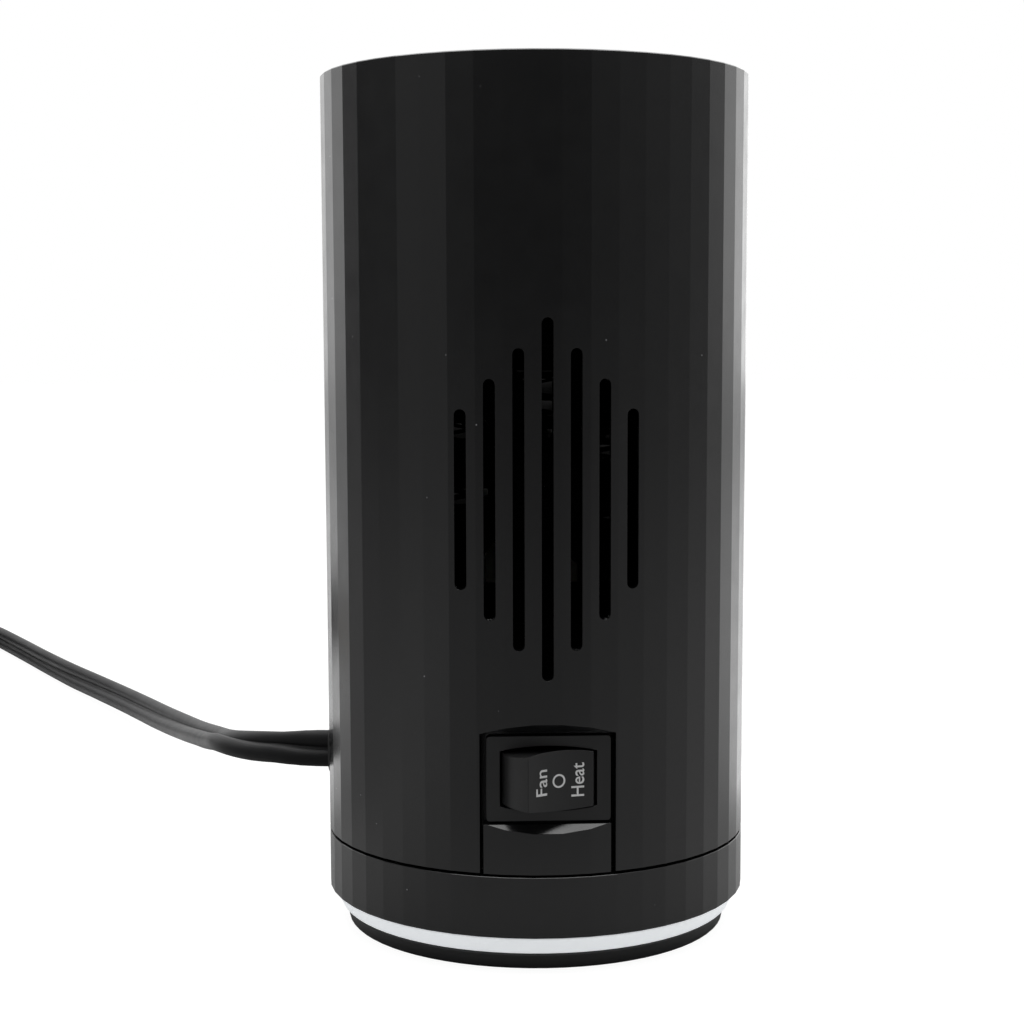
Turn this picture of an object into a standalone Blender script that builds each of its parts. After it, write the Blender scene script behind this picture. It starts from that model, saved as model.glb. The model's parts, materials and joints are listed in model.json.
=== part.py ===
"""A small cylindrical ceramic heater: faceted housing, rear intake slots, rocker switch, fan, PTC heating stack,
tip-over switch and mains cord. Metres, +Z up. The housing's axis is the Z axis, the floor is z = 0, the intake
and the switch are at the rear (-Y), the warm air leaves at the front (+Y) and the cord leaves at the left (-X)."""

import math

import bmesh
import bpy
from mathutils import Matrix, Vector

MM = 0.001
GAP = 0.3 * MM

# Housing
FACETS = 50
TOP_RADIUS = 38.5 * MM
LOW_RADIUS = 38.16 * MM
INNER_RADIUS = 35.9 * MM
LINER_RADIUS = 35.5 * MM
BASE_BOTTOM = 0.3 * MM
BASE_TOP = 3.05 * MM
RING_BOTTOM = 3.35 * MM
RING_TOP = 6.35 * MM
SKIRT_BOTTOM = 6.6 * MM
SKIRT_FLOOR = 9.0 * MM
SKIRT_TOP = 17.1 * MM
SHELL_BOTTOM = 17.55 * MM
SHELL_TOP = 153.4 * MM
TURNED_STEPS = 72

# Air path
FAN_HEIGHT = 80.4 * MM
SLOT_WIDTH = 1.95 * MM
SLOT_PITCH = 4.78 * MM
SLOT_LENGTHS = [30 * MM, 40 * MM, 50 * MM, 60 * MM, 50 * MM, 40 * MM, 30 * MM]
OUTLET_WIDTH = 46 * MM
OUTLET_HEIGHT = 76 * MM
OUTLET_CORNER = 5 * MM
GRILLE_PROUD = 2.0 * MM
FRAME_SIDE = 50 * MM
DUCT_WALL = 1.7 * MM
DUCT_END = 22 * MM

# Switch
SWITCH_X = 0.2 * MM
SWITCH_Z = 33.6 * MM
BEZEL_FACE = -36.3 * MM
BEZEL_SIZE = (20.9 * MM, 14.5 * MM)
BEZEL_THICKNESS = 1.6 * MM
POCKET_HALF = 8.1 * MM
NOTCH_LEFT = -11.35 * MM
NOTCH_RIGHT = 11.5 * MM
NOTCH_TOP = 43.0 * MM
ROCKER_PIVOT = (SWITCH_X, BEZEL_FACE + 2.0 * MM, SWITCH_Z)
ROCKER_TILT = math.radians(22)

# Tip-over switch
PLUNGER_AT = (0.0, 14 * MM)
LEVER_PIVOT = (12.5 * MM, 14 * MM, 27.55 * MM)

# Cord: a flat twin lead, wider than it is thick
CORD_WIDTH = 6.9 * MM
CORD_EXIT_ANGLE = math.radians(170)
CORD_EXIT_Z = 29.9 * MM
CORD_LENGTH = 1830 * MM
COIL_CENTRE = (-218.6 * MM, 291.8 * MM)
COIL_INNER = 33.5 * MM
COIL_OUTER = 48.5 * MM
COIL_BOTTOM = 0.5 * MM
COIL_TOP = 15.8 * MM
PLUG_AT = (-264.6 * MM, 216 * MM, 7.2 * MM)
CORD_ROUTE_MM = [
    (-39.4, 7.0, 29.9), (-43.2, 8.0, 29.85), (-47.6, 10.3, 29.6), (-52.0, 13.7, 29.25), (-55.6, 18.0, 28.8),
    (-58.5, 23.0, 28.3), (-60.8, 30.0, 27.3), (-64.0, 47.0, 24.2), (-69.0, 70.0, 20.3), (-74.8, 95.0, 16.1),
    (-81.2, 120.0, 12.3), (-88.7, 145.0, 9.2), (-97.3, 170.0, 6.9), (-107.0, 193.5, 5.4), (-118.2, 216.5, 4.7),
    (-129.5, 238.0, 4.4), (-141.4, 261.5, 4.3), (-154.0, 287.0, 4.3), (-166.8, 312.4, 4.3), (-170.7, 318.5, 4.3),
    (-174.3, 322.7, 4.3), (-178.0, 325.9, 4.3),
]


def material(name, colour, roughness, metallic=0.0):
    made = bpy.data.materials.new(name)
    made.use_nodes = True
    shader = made.node_tree.nodes["Principled BSDF"]
    shader.inputs["Base Color"].default_value = (*colour, 1.0)
    shader.inputs["Roughness"].default_value = roughness
    shader.inputs["Metallic"].default_value = metallic
    return made


def clear_scene():
    for old in list(bpy.data.objects):
        bpy.data.objects.remove(old)


def place(name, bm, finish, smooth_angle=30, pivot=(0, 0, 0)):
    """An object of this mesh, which is in world coordinates, with its origin at the pivot."""
    bmesh.ops.recalc_face_normals(bm, faces=bm.faces)
    mesh = bpy.data.meshes.new(name)
    bm.to_mesh(mesh)
    bm.free()
    mesh.transform(Matrix.Translation(-Vector(pivot)))
    if smooth_angle:
        mesh.shade_smooth()
        mesh.set_sharp_from_angle(angle=math.radians(smooth_angle))
    made = bpy.data.objects.new(name, mesh)
    made.location = pivot
    made.data.materials.append(finish)
    bpy.context.scene.collection.objects.link(made)
    return made


def combine(target, operation, bm, name):
    """Cuts, joins or intersects the target with this shape, which stays as a hidden helper."""
    tool = place(name, bm, target.data.materials[0], smooth_angle=0)
    tool.hide_render = True
    tool.display_type = "WIRE"
    modifier = target.modifiers.new(name, "BOOLEAN")
    modifier.operation = operation
    modifier.object = tool
    return target


def cut(target, bm, name):
    return combine(target, "DIFFERENCE", bm, name)


def join(target, bm, name):
    return combine(target, "UNION", bm, name)


def common(target, bm, name):
    return combine(target, "INTERSECT", bm, name)


def bevel(target, width, segments=1, angle=40):
    modifier = target.modifiers.new("edges", "BEVEL")
    modifier.width = width
    modifier.segments = segments
    modifier.limit_method = "ANGLE"
    modifier.angle_limit = math.radians(angle)
    return target


def axes_point(axis, a, b, along):
    """A point from two coordinates across an axis and one along it: across X they are y and z, and so on."""
    if axis == "X":
        return (along, a, b)
    if axis == "Y":
        return (a, along, b)
    return (a, b, along)


def add_prism(bm, outline, axis, low, high):
    start = [bm.verts.new(axes_point(axis, a, b, low)) for a, b in outline]
    end = [bm.verts.new(axes_point(axis, a, b, high)) for a, b in outline]
    bm.faces.new(start)
    bm.faces.new(reversed(end))
    for i in range(len(outline)):
        j = (i + 1) % len(outline)
        bm.faces.new((start[i], end[i], end[j], start[j]))


def prism(outline, axis, low, high):
    bm = bmesh.new()
    add_prism(bm, outline, axis, low, high)
    return bm


def box_outline(low, high):
    return [(low[0], low[1]), (high[0], low[1]), (high[0], high[1]), (low[0], high[1])]


def add_box(bm, low, high):
    add_prism(bm, box_outline(low, high), "Z", low[2], high[2])


def box(low, high):
    bm = bmesh.new()
    add_box(bm, low, high)
    return bm


def circle(radius, steps, centre=(0, 0), start=0.0):
    return [
        (centre[0] + radius * math.cos(start + math.tau * i / steps),
         centre[1] + radius * math.sin(start + math.tau * i / steps))
        for i in range(steps)
    ]


def rounded_rectangle(width, height, radius, centre=(0, 0), corner_steps=4):
    points = []
    for quarter, (sx, sy) in enumerate([(1, 1), (-1, 1), (-1, -1), (1, -1)]):
        cx = centre[0] + sx * (width / 2 - radius)
        cy = centre[1] + sy * (height / 2 - radius)
        for i in range(corner_steps + 1):
            angle = math.pi / 2 * (quarter + i / corner_steps)
            point = (cx + radius * math.cos(angle), cy + radius * math.sin(angle))
            if not points or math.dist(point, points[-1]) > 1e-7:
                points.append(point)
    if math.dist(points[0], points[-1]) < 1e-7:
        points.pop()
    return points


def add_turned(bm, profile, axis, centre=(0, 0), steps=TURNED_STEPS, start=0.0):
    """Turns a closed outline of (radius, height) points about an axis through the centre."""
    rings = []
    for radius, height in profile:
        if radius < 1e-9:
            rings.append([bm.verts.new(axes_point(axis, *centre, height))] * steps)
            continue
        rings.append([bm.verts.new(axes_point(axis, a, b, height)) for a, b in circle(radius, steps, centre, start)])
    for ring, following in zip(rings, rings[1:] + rings[:1]):
        for i in range(steps):
            j = (i + 1) % steps
            corners = []
            for corner in (ring[i], ring[j], following[j], following[i]):
                if corner not in corners:
                    corners.append(corner)
            if len(corners) > 2:
                bm.faces.new(corners)


def turned(profile, axis, centre=(0, 0), steps=TURNED_STEPS):
    bm = bmesh.new()
    add_turned(bm, profile, axis, centre, steps)
    return bm


def faceted(profile):
    """The profile turned in flat facets, one of them facing straight to the rear."""
    bm = bmesh.new()
    add_turned(bm, profile, "Z", steps=FACETS, start=-math.pi / 2 + math.pi / FACETS)
    return bm


def cylinder_profile(radius, low, high):
    return [(0, low), (radius, low), (radius, high), (0, high)]


def tube_profile(inner, outer, low, high):
    return [(inner, low), (outer, low), (outer, high), (inner, high)]


def radius_at(z):
    """The housing's corner radius, which grows a little towards the top."""
    share = (z - SHELL_BOTTOM) / (SHELL_TOP - SHELL_BOTTOM)
    return LOW_RADIUS + share * (TOP_RADIUS - LOW_RADIUS)


def cord_exit_direction():
    return Vector((math.cos(CORD_EXIT_ANGLE), math.sin(CORD_EXIT_ANGLE), 0))


def along_exit(outline, near, far):
    """A prism of (sideways, up) points along the cord's way out, between two distances from the housing's axis."""
    bm = prism(outline, "Y", near, far)
    turn = Matrix.Rotation(CORD_EXIT_ANGLE - math.pi / 2, 4, "Z")
    bmesh.ops.transform(bm, matrix=Matrix.Translation((0, 0, CORD_EXIT_Z)) @ turn, verts=bm.verts)
    return bm


def make_shell(finish):
    rim = 0.2 * MM
    low_bevel = 0.12 * MM
    profile = [
        (INNER_RADIUS, SHELL_BOTTOM),
        (LOW_RADIUS - low_bevel, SHELL_BOTTOM),
        (LOW_RADIUS, SHELL_BOTTOM + low_bevel),
        (TOP_RADIUS, SHELL_TOP - rim),
        (TOP_RADIUS - rim, SHELL_TOP),
        (INNER_RADIUS, SHELL_TOP),
    ]
    shell = place("main_shell", faceted(profile), finish, smooth_angle=0)
    slots = bmesh.new()
    middle = len(SLOT_LENGTHS) // 2
    for i, length in enumerate(SLOT_LENGTHS):
        centre = ((i - middle) * SLOT_PITCH, FAN_HEIGHT)
        outline = rounded_rectangle(SLOT_WIDTH, length, SLOT_WIDTH / 2, centre)
        add_prism(slots, outline, "Y", -45 * MM, -25 * MM)
    cut(shell, slots, "intake_slots")
    slope_end = -36.35 * MM
    outside = -45 * MM
    face = -LOW_RADIUS * math.cos(math.pi / FACETS)
    notch = [
        (outside, NOTCH_TOP + face - outside),
        (outside, 10 * MM),
        (-30 * MM, 10 * MM),
        (-30 * MM, NOTCH_TOP + face - slope_end),
        (slope_end, NOTCH_TOP + face - slope_end),
    ]
    cut(shell, prism(notch, "X", NOTCH_LEFT, NOTCH_RIGHT), "switch_notch")
    outlet = rounded_rectangle(OUTLET_WIDTH, OUTLET_HEIGHT, OUTLET_CORNER, (0, FAN_HEIGHT))
    cut(shell, prism(outlet, "Y", 20 * MM, 45 * MM), "outlet_opening")
    cord_hole = rounded_rectangle(6.2 * MM, 9.6 * MM, 3.0 * MM)
    cut(shell, along_exit(cord_hole, 30 * MM, 45 * MM), "cord_hole")
    return shell


def make_top_cap(finish):
    edge = INNER_RADIUS - 0.35 * MM
    dish = edge - 3 * MM
    wall = 1.8 * MM
    top = SHELL_TOP - 0.9 * MM
    profile = [
        (0, top - 1.0 * MM), (dish - 6 * MM, top - 0.8 * MM), (dish, top), (edge - 0.4 * MM, top), (edge, top - 0.4 * MM),
        (edge, top - 7 * MM), (edge - wall, top - 7 * MM), (edge - wall, top - 3 * MM), (0, top - 3 * MM),
    ]
    return place("top_cap", faceted(profile), finish, smooth_angle=0)


def add_sector(bm, profile, start, end, steps):
    """Sweeps a closed outline of (radius, height) points about the Z axis between two angles."""
    rings = []
    for i in range(steps + 1):
        angle = start + (end - start) * i / steps
        rings.append([bm.verts.new((r * math.cos(angle), r * math.sin(angle), z)) for r, z in profile])
    for ring, following in zip(rings, rings[1:]):
        for k in range(len(profile)):
            j = (k + 1) % len(profile)
            bm.faces.new((ring[k], ring[j], following[j], following[k]))
    bm.faces.new(reversed(rings[0]))
    bm.faces.new(rings[-1])


def make_grille(finish):
    """The curved outlet grille: a frame that stands a little proud, with upright ribs and louvres that rise outwards,
    so that nothing can be pushed or seen straight through it."""
    outer = TOP_RADIUS + GRILLE_PROUD
    inner = outer - 4.3 * MM
    ring = place("front_grille", faceted(tube_profile(inner, outer, 30 * MM, 130 * MM)), finish, 0)
    width = OUTLET_WIDTH - 2 * GAP
    height = OUTLET_HEIGHT - 2 * GAP
    outline = rounded_rectangle(width, height, OUTLET_CORNER - GAP, (0, FAN_HEIGHT))
    common(ring, prism(outline, "Y", 20 * MM, 45 * MM), "grille_outline")
    border, slat, rows, columns = 3.2 * MM, 1.4 * MM, 16, 3
    rise = math.tan(math.radians(35))
    near, far = inner - 1 * MM, outer + 1 * MM
    pitch = (height - 2 * border + slat) / rows
    half_angle = math.asin((width / 2 - border) / outer)
    rib = 1.7 * MM / outer
    column_angle = (2 * half_angle - (columns - 1) * rib) / columns
    gaps = bmesh.new()
    for row in range(rows):
        low = FAN_HEIGHT - height / 2 + border + row * pitch
        high = low + pitch - slat
        profile = [(near, low + (near - outer) * rise), (far, low + (far - outer) * rise),
                   (far, high + (far - outer) * rise), (near, high + (near - outer) * rise)]
        for column in range(columns):
            start = math.pi / 2 - half_angle + column * (column_angle + rib)
            add_sector(gaps, profile, start, start + column_angle, 5)
    cut(ring, gaps, "louvre_gaps")
    return ring


def screw_places():
    radius = 18 * MM
    return circle(radius, 3, start=math.pi / 2 + math.pi / 3)


def foot_places():
    return circle(26 * MM, 4, start=math.pi / 4)


def make_skirt(finish):
    lip_top = 20.5 * MM
    profile = [
        (0, SKIRT_BOTTOM), (LOW_RADIUS - 0.3 * MM, SKIRT_BOTTOM), (LOW_RADIUS, SKIRT_BOTTOM + 0.3 * MM),
        (LOW_RADIUS, SKIRT_TOP - 0.1 * MM), (LOW_RADIUS - 0.1 * MM, SKIRT_TOP), (LINER_RADIUS, SKIRT_TOP),
        (LINER_RADIUS, lip_top), (33.9 * MM, lip_top), (33.9 * MM, SKIRT_FLOOR), (0, SKIRT_FLOOR),
    ]
    skirt = place("base_skirt", faceted(profile), finish, smooth_angle=0)
    holes = bmesh.new()
    for centre in screw_places():
        add_prism(holes, circle(1.75 * MM, 12, centre), "Z", 5 * MM, 12 * MM)
    add_prism(holes, circle(2.8 * MM, 16, PLUNGER_AT), "Z", 5 * MM, 12 * MM)
    cut(skirt, holes, "skirt_holes")
    cut(skirt, box((-15.4 * MM, -36 * MM, SKIRT_TOP), (15.4 * MM, -28 * MM, 25 * MM)), "panel_gap")
    return skirt


def make_accent_ring(finish):
    profile = [
        (31.5 * MM, RING_BOTTOM), (35.7 * MM, RING_BOTTOM), (35.97 * MM, RING_BOTTOM + 0.25 * MM),
        (37.3 * MM, RING_TOP), (31.5 * MM, RING_TOP),
    ]
    return place("accent_ring", turned(profile, "Z"), finish)


def make_base_plate(finish):
    hub = 31.2 * MM
    bottom_radius, corner = 34.7 * MM, 0.6 * MM
    profile = [(0, BASE_BOTTOM)]
    for i in range(4):
        angle = math.pi / 2 * i / 3
        profile.append((bottom_radius - corner + corner * math.sin(angle),
                        BASE_BOTTOM + corner - corner * math.cos(angle)))
    profile += [(35.0 * MM, BASE_TOP - 0.3 * MM), (34.7 * MM, BASE_TOP), (hub, BASE_TOP), (hub, RING_TOP), (0, RING_TOP)]
    plate = place("base_plate", turned(profile, "Z"), finish)
    holes = bmesh.new()
    for centre in screw_places():
        add_turned(holes, [(0, 0), (3.5 * MM, 0), (3.5 * MM, 3.4 * MM), (1.75 * MM, 3.4 * MM), (1.75 * MM, 8 * MM), (0, 8 * MM)],
                   "Z", centre, 16)
    for centre in foot_places():
        add_prism(holes, circle(5.3 * MM, 20, centre), "Z", 0, 1.5 * MM)
    add_turned(holes, [(0, 0), (4.4 * MM, 0), (4.4 * MM, 3.0 * MM), (2.8 * MM, 3.0 * MM), (2.8 * MM, 8 * MM), (0, 8 * MM)],
               "Z", PLUNGER_AT, 16)
    cut(plate, holes, "base_holes")
    return plate


def make_feet(finish):
    profile = [(0, 0), (4.6 * MM, 0), (5.0 * MM, 0.3 * MM), (5.0 * MM, 1.2 * MM), (0, 1.2 * MM)]
    for i, centre in enumerate(foot_places()):
        place(f"rubber_foot_{i + 1}", turned(profile, "Z", centre, 24), finish)


def make_base_screws(finish):
    profile = [
        (0, 1.3 * MM), (2.3 * MM, 1.3 * MM), (3.0 * MM, 1.9 * MM), (3.0 * MM, 3.1 * MM),
        (1.45 * MM, 3.1 * MM), (1.45 * MM, 13.2 * MM), (0.6 * MM, 14.2 * MM), (0, 14.2 * MM),
    ]
    for i, centre in enumerate(screw_places()):
        screw = place(f"base_screw_{i + 1}", turned(profile, "Z", centre, 16), finish)
        cross = [
            (0.35, 1.5), (-0.35, 1.5), (-0.35, 0.35), (-1.5, 0.35), (-1.5, -0.35), (-0.35, -0.35),
            (-0.35, -1.5), (0.35, -1.5), (0.35, -0.35), (1.5, -0.35), (1.5, 0.35), (0.35, 0.35),
        ]
        outline = [(centre[0] + x * MM, centre[1] + y * MM) for x, y in cross]
        cut(screw, prism(outline, "Z", 0, 2.3 * MM), f"screw_recess_{i + 1}")


def make_inner_frame(finish):
    """The chassis: a floor disc with screw bosses, two legs and the square duct that holds fan and heater."""
    floor_low, floor_high = SKIRT_FLOOR + GAP, 11.3 * MM
    half = FRAME_SIDE / 2 + GAP + DUCT_WALL
    inside = half - DUCT_WALL
    low_z, high_z = FAN_HEIGHT - half, FAN_HEIGHT + half
    duct = prism(box_outline((-half, low_z), (half, high_z)), "Y", -DUCT_END, DUCT_END)
    frame = place("inner_frame", duct, finish, smooth_angle=0)
    bore = prism(box_outline((-inside, FAN_HEIGHT - inside), (inside, FAN_HEIGHT + inside)), "Y", -30 * MM, 30 * MM)
    cut(frame, bore, "duct_bore")
    for i, side in enumerate((-1, 1)):
        leg_low = (side * 23.5 * MM - 2.5 * MM, -11 * MM, 10 * MM)
        leg_high = (side * 23.5 * MM + 2.5 * MM, -3 * MM, low_z + 1 * MM)
        join(frame, box(leg_low, leg_high), f"frame_leg_{i + 1}")
    bulkhead = bmesh.new()
    for low, high in ((44 * MM, low_z + 1 * MM), (high_z - 1 * MM, 144 * MM)):
        add_box(bulkhead, (-26.3 * MM, -DUCT_END + 0.1 * MM, low), (26.3 * MM, -DUCT_END + 1.7 * MM, high))
    join(frame, bulkhead, "bulkhead")
    join(frame, turned(cylinder_profile(31 * MM, floor_low, floor_high), "Z", steps=48), "frame_floor")
    bosses = bmesh.new()
    for centre in screw_places():
        add_prism(bosses, circle(4 * MM, 16, centre), "Z", floor_low + 0.5 * MM, 16 * MM)
    join(frame, bosses, "screw_bosses")
    join(frame, box((5 * MM, 17.2 * MM, 10 * MM), (13 * MM, 19.2 * MM, 36 * MM)), "tip_switch_wall")
    holes = bmesh.new()
    for centre in screw_places():
        add_prism(holes, circle(1.75 * MM, 12, centre), "Z", 5 * MM, 14.6 * MM)
    add_prism(holes, circle(2.8 * MM, 16, PLUNGER_AT), "Z", 5 * MM, 14 * MM)
    cut(frame, holes, "frame_holes")
    return frame


def make_switch_panel(finish):
    """The removable rear panel: a curved wall behind the notch that holds the switch, with the tab below it."""
    wall = faceted(tube_profile(33.2 * MM, LINER_RADIUS, SHELL_BOTTOM, 46 * MM))
    panel = place("switch_panel", wall, finish, smooth_angle=0)
    common(panel, box((-15 * MM, -40 * MM, 15 * MM), (15 * MM, -20 * MM, 50 * MM)), "panel_outline")
    tab_top = 25.95 * MM
    slope_start = -36.7 * MM
    outside = -42 * MM
    outline = [
        (outside, SHELL_BOTTOM), (-34 * MM, SHELL_BOTTOM), (-34 * MM, tab_top), (slope_start, tab_top),
        (outside, tab_top - (slope_start - outside)),
    ]
    tab = place("tab_form", faceted(tube_profile(34.6 * MM, LOW_RADIUS, 10 * MM, 40 * MM)), finish, smooth_angle=0)
    tab.hide_render = True
    tab.display_type = "WIRE"
    common(tab, prism(outline, "X", -10.75 * MM, 10.7 * MM), "tab_outline")
    union = panel.modifiers.new("tab", "BOOLEAN")
    union.operation = "UNION"
    union.object = tab
    width, height = BEZEL_SIZE
    back = BEZEL_FACE + BEZEL_THICKNESS + GAP
    seat_low = (SWITCH_X - width / 2 - GAP, -45 * MM, SWITCH_Z - height / 2 - GAP)
    seat_high = (SWITCH_X + width / 2 + GAP, back, SWITCH_Z + height / 2 + GAP)
    cut(panel, box(seat_low, seat_high), "bezel_seat")
    hole = box((SWITCH_X - 10 * MM, -40 * MM, SWITCH_Z - 6.7 * MM), (SWITCH_X + 10 * MM, -20 * MM, SWITCH_Z + 6.7 * MM))
    cut(panel, hole, "switch_hole")
    return panel


def pocket_half_height(x):
    """Half the height of the rocker's opening, which bulges towards the middle."""
    return 4.7 * MM + 0.8 * MM * (1 - (x / POCKET_HALF) ** 2)


def make_switch_housing(finish):
    width, height = BEZEL_SIZE
    flange_back = BEZEL_FACE + BEZEL_THICKNESS
    flange = rounded_rectangle(width, height, 0.6 * MM, (SWITCH_X, SWITCH_Z), 3)
    housing = place("switch_housing", prism(flange, "Y", BEZEL_FACE, flange_back), finish, smooth_angle=0)
    body = box((SWITCH_X - 9.7 * MM, flange_back - 0.5 * MM, SWITCH_Z - 6.4 * MM),
               (SWITCH_X + 9.7 * MM, -25.5 * MM, SWITCH_Z + 6.4 * MM))
    join(housing, body, "switch_body")
    steps = 12
    xs = [POCKET_HALF * (2 * i / steps - 1) for i in range(steps + 1)]
    outline = [(SWITCH_X + x, SWITCH_Z + pocket_half_height(x)) for x in xs]
    outline += [(SWITCH_X + x, SWITCH_Z - pocket_half_height(x)) for x in reversed(xs)]
    cut(housing, prism(outline, "Y", -40 * MM, -27.8 * MM), "rocker_pocket")
    return housing


def rocker_outline():
    """The rocker seen along its pivot, level: (sideways, outward) points from the pivot."""
    end_radius = 7.9 * MM
    ridge = math.radians(40.5)
    low = math.radians(-20)
    right = [
        (end_radius * math.cos(low + (ridge - low) * i / 6), end_radius * math.sin(low + (ridge - low) * i / 6))
        for i in range(7)
    ]
    ridge_x, ridge_out = right[-1]
    hollow = 1.0 * MM
    face = [
        (ridge_x * (1 - 2 * i / 10), ridge_out - hollow * (1 - (1 - 2 * i / 10) ** 2))
        for i in range(1, 10)
    ]
    left = [(-x, out) for x, out in reversed(right)]
    return [(5 * MM, -3.5 * MM)] + right + face + left + [(-5 * MM, -3.5 * MM)]


def make_rocker(finish):
    """The rocker, tilted about its upright pivot so that its right-hand end is pressed in."""
    bm = bmesh.new()
    outline = rocker_outline()
    rows = []
    for side in (1, -1):
        row = []
        for x, out in outline:
            half = 4.3 * MM + 0.85 * MM * (1 - (x / (7.9 * MM)) ** 2)
            row.append(bm.verts.new((x, -out, side * half)))
        rows.append(row)
    upper, lower = rows
    bm.faces.new(upper)
    bm.faces.new(reversed(lower))
    for i in range(len(outline)):
        j = (i + 1) % len(outline)
        bm.faces.new((upper[i], upper[j], lower[j], lower[i]))
    turn = Matrix.Translation(ROCKER_PIVOT) @ Matrix.Rotation(ROCKER_TILT, 4, "Z")
    bmesh.ops.transform(bm, matrix=turn, verts=bm.verts)
    return place("rocker", bm, finish, 40, ROCKER_PIVOT)


def make_switch_terminals(finish):
    for i in range(3):
        x = SWITCH_X + (i - 1) * 6.5 * MM
        low = (x - 0.4 * MM, -25.2 * MM, SWITCH_Z - 2.4 * MM)
        high = (x + 0.4 * MM, -18.2 * MM, SWITCH_Z + 2.4 * MM)
        place(f"switch_terminal_{i + 1}", box(low, high), finish, smooth_angle=0)


def make_fan_frame(finish):
    half = FRAME_SIDE / 2
    rear, front = -21.7 * MM, -4.7 * MM
    centre = (0, FAN_HEIGHT)
    outline = rounded_rectangle(2 * half, 2 * half, 3 * MM, centre)
    frame = place("fan_frame", prism(outline, "Y", rear, front), finish)
    cut(frame, prism(circle(23.2 * MM, 48, centre), "Y", rear - 5 * MM, front + 5 * MM), "fan_bore")
    spider_rear = -7.5 * MM
    arms = bmesh.new()
    for i in range(4):
        angle = math.pi / 4 + math.pi / 2 * i
        along = Vector((math.cos(angle), math.sin(angle)))
        across = Vector((-along.y, along.x)) * 1.6 * MM
        near, far = along * 11 * MM, along * 25 * MM
        corners = [near + across, near - across, far - across, far + across]
        add_prism(arms, [(p.x, FAN_HEIGHT + p.y) for p in corners], "Y", spider_rear, front - 0.1 * MM)
    join(frame, arms, "spider_arms")
    hub = turned(tube_profile(10.5 * MM, 12.8 * MM, spider_rear, front - 0.2 * MM), "Y", centre, 32)
    join(frame, hub, "spider_hub")
    return frame


def make_impeller(finish):
    """Seven twisted blades on a hub, with a bore for the shaft."""
    rear, front = -20.7 * MM, -10.2 * MM
    hub_radius, tip_radius = 9 * MM, 22.6 * MM
    centre = (0, FAN_HEIGHT)
    pivot = (0, 0, FAN_HEIGHT)
    profile = [(0, rear + 1 * MM), (7 * MM, rear), (hub_radius, rear + 1.5 * MM), (hub_radius, front), (0, front)]
    impeller = place("impeller", turned(profile, "Y", centre, 32), finish, 30, (0, 0, 0))
    blades = bmesh.new()
    count, spans, chords, thickness = 7, 4, 4, 1.1 * MM
    middle = (rear + front) / 2 + 0.4 * MM
    for blade in range(count):
        sheets = []
        for side in (-0.5, 0.5):
            sheet = []
            for i in range(spans + 1):
                share = i / spans
                radius = hub_radius - 1 * MM + share * (tip_radius - hub_radius + 1 * MM)
                pitch = math.radians(42 - 14 * share)
                chord = (10 + 3 * share) * MM
                row = []
                for k in range(chords + 1):
                    s = (k / chords - 0.5) * chord
                    bow = 0.9 * MM * (1 - (2 * k / chords - 1) ** 2)
                    turn = s * math.cos(pitch) / radius + math.tau * blade / count + 0.25 * share
                    y = middle + s * math.sin(pitch) + bow + side * thickness
                    row.append(blades.verts.new((radius * math.cos(turn), y, FAN_HEIGHT + radius * math.sin(turn))))
                sheet.append(row)
            sheets.append(sheet)
        skin_blade(blades, sheets)
    join(impeller, blades, "impeller_blades")
    cut(impeller, prism(circle(1.3 * MM, 12, centre), "Y", -30 * MM, 0), "shaft_bore")
    return impeller


def skin_blade(bm, sheets):
    """Closes the two sheets of a blade into one body."""
    front, back = sheets
    rows, columns = len(front), len(front[0])
    for i in range(rows - 1):
        for k in range(columns - 1):
            bm.faces.new((front[i][k], front[i][k + 1], front[i + 1][k + 1], front[i + 1][k]))
            bm.faces.new((back[i][k], back[i + 1][k], back[i + 1][k + 1], back[i][k + 1]))
    for i in range(rows - 1):
        for k in (0, columns - 1):
            bm.faces.new((front[i][k], front[i + 1][k], back[i + 1][k], back[i][k]))
    for k in range(columns - 1):
        for i in (0, rows - 1):
            bm.faces.new((front[i][k], front[i][k + 1], back[i][k + 1], back[i][k]))


def make_motor(case_finish, shaft_finish):
    centre = (0, FAN_HEIGHT)
    rear, front = -8.5 * MM, 5.5 * MM
    profile = [
        (0, rear), (3 * MM, rear), (3 * MM, rear + 0.8 * MM), (9.6 * MM, rear + 0.8 * MM), (10.2 * MM, rear + 1.4 * MM),
        (10.2 * MM, front - 0.6 * MM), (9.6 * MM, front), (0, front),
    ]
    motor = place("fan_motor", turned(profile, "Y", centre, 32), case_finish)
    cut(motor, prism(circle(1.3 * MM, 12, centre), "Y", -12 * MM, -3 * MM), "motor_bore")
    shaft = turned(cylinder_profile(1.0 * MM, -19.2 * MM, -3.3 * MM), "Y", centre, 12)
    place("motor_shaft", shaft, shaft_finish)


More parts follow.
